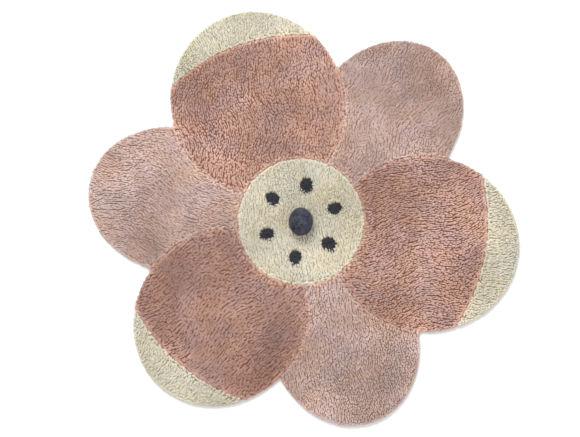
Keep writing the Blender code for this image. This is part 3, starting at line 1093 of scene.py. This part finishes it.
# %% The cloth's two finishes
THREAD_PITCH = 0.0016  # the weave's full wave: one thread over and one under
COTTON, COATING = (0.57, 0.50, 0.38), (0.66, 0.61, 0.50)
FLUFF_SCALE, SLUB_SCALE, SMEAR_SCALE = 420.0, 260.0, 9.0  # per metre
FLUFF_DEPTH, WEAVE_DEPTH = 0.002, 0.0003
ROOT_SHADE, ROOT_ROUGHNESS = (0.5, 0.8), (1.0, 0.9)
DRAWN_OUT = (1.0, 0.08, 1.0)  # noise, along one set of threads
SLUB_TONES, SLUB_HEIGHT = (0.86, 1.08), 0.6
SMEARED = (0.4, 0.6)  # the noise's values from bare cotton to full coating
COATED_ROUGHNESS = (0.95, 0.7)
# Painted shade: the cloth's top has the roots' shaded colours, darkened again by ROOT_SHADE, as it
# lies under the pile
roots, tree = new_material("wool roots in painted shade")
dye = add(tree, "ShaderNodeAttribute", attribute_name="shaded_root_dye").outputs["Color"]
at = add(tree, "ShaderNodeTexCoord").outputs["Object"]
fluff = noise_of(tree, at, FLUFF_SCALE, detail=3.0)
colour = scaled(tree, dye, spread(tree, fluff, *ROOT_SHADE))
finish(roots, colour, spread(tree, fluff, *ROOT_ROUGHNESS), fluff, FLUFF_DEPTH)

backing, tree = new_material("coated cotton backing")
at = add(tree, "ShaderNodeTexCoord").outputs["Object"]
place = add(tree, "ShaderNodeSeparateXYZ", {0: at}).outputs
turns = [maths(tree, "MULTIPLY", place[axis], 2 * math.pi / THREAD_PITCH) for axis in (0, 1)]
weave = maths(tree, "MULTIPLY", *[maths(tree, "SINE", turn) for turn in turns])
slub = noise_of(tree, vectors(tree, "MULTIPLY", at, DRAWN_OUT), SLUB_SCALE)
smear = ranged(tree, noise_of(tree, at, SMEAR_SCALE, detail=4.0), *SMEARED, 0.0, 1.0)
colour = mixed(tree, smear, COTTON, COATING)
colour = scaled(tree, colour, spread(tree, slub, *SLUB_TONES))
height = maths(tree, "MULTIPLY_ADD", slub, SLUB_HEIGHT, weave)
finish(backing, colour, ranged(tree, smear, 0.0, 1.0, *COATED_ROUGHNESS), height, WEAVE_DEPTH)

cloth.data.materials.append(roots)
cloth.data.materials.append(backing)
for polygon in cloth.data.polygons:
    polygon.material_index = int(min(heights[list(polygon.vertices)]) < CLOTH_THICKNESS / 2)
print("cloth's finishes", [material.name for material in cloth.data.materials])

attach(cloth, "root")
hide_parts("rug")

# %% [markdown]
# ## The felt ball
#
# The ball is wool rolled and felted until it is firm. It is nearly round, a
# little lumpy, and its base is drawn flat onto the pile by the stitches. A plain
# sphere would look like plastic, so a fine one gets soft lumps, the puckers of
# felting and one pit.

# %% Shape the ball
LUMP, LUMP_SIZE = 0.0009, 0.022
PUCKER, PUCKER_SIZE, WARP = 0.0004, 0.0045, 2.0
PIT_AZIMUTH, PIT_ELEVATION = 221, 33  # degrees
PIT_RADIUS, PIT_DEPTH, PIT_STEEPNESS = 0.0068, 0.0055, 4
BALL_FINENESS = 6  # 1 is a solid of 20 faces, and each step more makes four faces of one
pit_turn, pit_rise = math.radians(PIT_AZIMUTH), math.radians(PIT_ELEVATION)
pit_way = Vector((
    math.cos(pit_turn) * math.cos(pit_rise),
    math.sin(pit_turn) * math.cos(pit_rise),
    math.sin(pit_rise),
))
ball_size, middle_of_ball = Vector(ball_half), Vector(ball_centre)
pit = pit_way * ball_size
# Where the three parts of noise_way read the noise, far enough apart to have nothing in common
APART = (Vector((9.3, -1.5, -8.0)), Vector(), Vector((-6.2, 7.1, 3.4)))


def noise_way(at):
    """Noise as a vector. noise.noise_vector would be shorter, but it changes from run to run."""
    return Vector([noise.noise(at + shift) for shift in APART])


form = bmesh.new()
bmesh.ops.create_icosphere(form, subdivisions=BALL_FINENESS, radius=1.0)
dents = []
for vertex in form.verts:
    way = vertex.co.normalized()
    smooth = way * ball_size
    lumps = noise.noise(smooth / LUMP_SIZE) * LUMP
    warped = smooth / PUCKER_SIZE + WARP * noise_way(smooth / LUMP_SIZE)
    puckers = noise.noise(warped) * PUCKER
    dents.append(math.exp(-(((smooth - pit).length / PIT_RADIUS) ** PIT_STEEPNESS)))
    vertex.co = middle_of_ball + smooth + way * (lumps + puckers - PIT_DEPTH * dents[-1])
    vertex.co.z = max(vertex.co.z, ball_low[2])
ball_mesh = bpy.data.meshes.new("felted_ball")
form.to_mesh(ball_mesh)
form.free()
ball_mesh.attributes.new("dent", "FLOAT", "POINT").data.foreach_set("value", dents)
ball_mesh.shade_smooth()
ball = placed("felted_ball", ball_mesh)
print("ball", len(dents), "points, deepest in the pit", round(max(dents) * PIT_DEPTH, 4))

# %% [markdown]
# ## Felt
#
# Felt shows no yarn, only matted fibres: a faint mottle of lighter and darker
# hairs, a matt face, and fuzz that softens its edge. The pit's own attribute darkens
# it, as light hardly reaches in. Real short hairs show in the outline, where a bump
# alone would leave it sharp.

# %% The felt's material
FELT_DARK, FELT_LIGHT = (0.004, 0.005, 0.013), (0.061, 0.063, 0.094)
# The pit's colour is painted shade
FELT_PIT_SHADE = (0.002, 0.002, 0.003)
MATTED_SCALE, CLOUDY_SCALE = 400.0, 60.0  # per metre
CLOUDY_SHARE, MOTTLED = 0.5, (0.62, 0.88)  # and the values from the dark hairs to the light
FELT_ROUGHNESS, FELT_DEPTH = (0.98, 0.85), 0.0012
FELT_SHEEN = (0.08, 0.4)  # weight and roughness
felt, tree = new_material("dark grey felt")
at = add(tree, "ShaderNodeTexCoord").outputs["Object"]
matted = noise_of(tree, at, MATTED_SCALE, detail=3.0, distortion=0.6)
cloudy = noise_of(tree, at, CLOUDY_SCALE)
mottle = maths(tree, "MULTIPLY_ADD", cloudy, CLOUDY_SHARE, matted)
mottle = ranged(tree, mottle, *MOTTLED, 0.0, 1.0)
colour = mixed(tree, mottle, FELT_DARK, FELT_LIGHT)
# Painted shade in the pit, where light hardly reaches
colour = mixed(tree, column(tree, "dent"), colour, FELT_PIT_SHADE)
finish(felt, colour, spread(tree, matted, *FELT_ROUGHNESS), matted, FELT_DEPTH, FELT_SHEEN)
ball.data.materials.append(felt)
print("felt", len(tree.nodes), "nodes")

# %% The tree that grows the fuzz
HAIR_ENDS = (0, 0, -0.2), (0.7, 0, 0.7)  # in hair lengths; it starts inside the felt
HAIR_HANDLES = (0, 0, 0.3), (0.25, 0, 0.5)
SHORTEST, LONGEST = 0.5, 1.4  # shares of the tree's Length
fuzz_tree, given, result = new_group(
    "fuzz on a surface",
    "GeometryNodeTree",
    {
        "Surface": (GEOMETRY,),
        "Hairs per square metre": (REAL, 90000.0),
        "Length": (REAL, 0.0028),
        "Radius": (REAL, 0.00006),
        "Seed": (WHOLE, 3),
        "Felt": ("NodeSocketMaterial",),
    },
    {"Fuzz": (GEOMETRY,)},
)
tree = fuzz_tree
bow = dict(zip(("Start", "End", "Start Handle", "End Handle"), HAIR_ENDS + HAIR_HANDLES))
bow["Resolution"] = 2
hair = geo(tree, "CurvePrimitiveBezierSegment", bow)
section = geo(tree, "CurvePrimitiveCircle", {"Resolution": 3, "Radius": 1.0})
thin = maths(tree, "DIVIDE", given["Radius"], given["Length"])
hair = {"Curve": hair, "Profile Curve": section, "Scale": thin, "Fill Caps": True}
hair = geo(tree, "CurveToMesh", hair)
spots = {"Mesh": given["Surface"], "Seed": given["Seed"]}
spots |= {"Density": given["Hairs per square metre"]}
spots = add(tree, "GeometryNodeDistributePointsOnFaces", spots)
twist = add(tree, "FunctionNodeRandomValue", {3: 2 * math.pi, "Seed": given["Seed"]}).outputs[1]
twist = add(tree, "ShaderNodeCombineXYZ", {"Z": twist}).outputs[0]
turned = {"Rotation": spots.outputs["Rotation"], "Rotate By": twist}
turned = add(tree, "FunctionNodeRotateRotation", turned, rotation_space="LOCAL").outputs[0]
long = {2: SHORTEST, 3: LONGEST, "Seed": given["Seed"]}
long = add(tree, "FunctionNodeRandomValue", long).outputs[1]
long = maths(tree, "MULTIPLY", long, given["Length"])
hairs = {"Points": spots.outputs["Points"], "Instance": hair, "Rotation": turned, "Scale": long}
hairs = geo(tree, "InstanceOnPoints", hairs)
hairs = geo(tree, "RealizeInstances", {"Geometry": hairs})
hairs = geo(tree, "SetMaterial", {"Geometry": hairs, "Material": given["Felt"]})
tree.links.new(hairs, result["Fuzz"])
print("fuzz tree", len(tree.nodes), "nodes")

# %% Grow the fuzz on the ball
fuzz = placed("ball_fuzz", ball.data.copy())
modifier = fuzz.modifiers.new("fuzz", "NODES")
modifier.node_group = fuzz_tree
set_input(modifier, "Felt", felt)
applied(fuzz)
for piece in (ball, fuzz):
    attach(piece, "root")
    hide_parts("felt_ball")
print("fuzz", len(fuzz.data.polygons), "faces")

# %% [markdown]
# ## Floor, light and camera
#
# The rug is shown from straight above on white. One large soft lamp stands on the
# far side, so that every tuft has a lit and a shaded side, and a bright room
# fills the rest.

# %% The stage
FLOOR_SIZE, FLOOR_COLOUR, FLOOR_ROUGHNESS = 12.0, (0.92, 0.92, 0.92, 1), 0.9
floor_mesh = bpy.data.meshes.new("floor")
half = FLOOR_SIZE / 2
corners = [(-half, -half, 0), (half, -half, 0), (half, half, 0), (-half, half, 0)]
floor_mesh.from_pydata(corners, [], [(0, 1, 2, 3)])
floor = placed("floor", floor_mesh)
floor_paint, tree = new_material("pale floor")
paint_inputs = tree.nodes["Principled BSDF"].inputs
paint_inputs["Base Color"].default_value = FLOOR_COLOUR
paint_inputs["Roughness"].default_value = FLOOR_ROUGHNESS
floor_mesh.materials.append(floor_paint)
print("floor", FLOOR_SIZE, "m across")

# %% Light
ROOM_LIGHT = 0.86
world = bpy.data.worlds.new("bright room")
world.use_nodes = True
background = world.node_tree.nodes["Background"]
background.inputs["Color"].default_value = (1.0, 1.0, 1.0, 1)
background.inputs["Strength"].default_value = ROOM_LIGHT
bpy.context.scene.world = world

KEY_PLACE, KEY_SIZE, KEY_POWER = Vector((-0.9, 2.6, 3.4)), 2.2, 150.0
key_lamp = bpy.data.lights.new("key lamp", "AREA")
key_lamp.shape = "DISK"
key_lamp.size = KEY_SIZE
key_lamp.energy = KEY_POWER
key = placed("key lamp", key_lamp)
key.location = KEY_PLACE
key.rotation_euler = (-KEY_PLACE).to_track_quat("-Z", "Y").to_euler()
print("lamp", KEY_POWER, "watts, room", ROOM_LIGHT)

# %% Camera
PHOTO_WIDTH, RUG_WIDTH, RUG_MIDDLE = 580, 431, 303.5  # pixels: the frame, the rug, its middle
METRES_PER_PIXEL = (rug_high[0] - rug_low[0]) / RUG_WIDTH
LENS, SENSOR = 85, 36  # millimetres
lens_data = bpy.data.cameras.new("camera")
lens_data.lens, lens_data.sensor_width = LENS, SENSOR
camera = placed("camera", lens_data)
aside = (PHOTO_WIDTH / 2 - RUG_MIDDLE) * METRES_PER_PIXEL
camera.location = (aside, 0, PILE_TOP + PHOTO_WIDTH * METRES_PER_PIXEL * LENS / SENSOR)
bpy.context.scene.camera = camera
bpy.context.scene.view_settings.view_transform = "Standard"
print("camera", [round(value, 3) for value in camera.location])
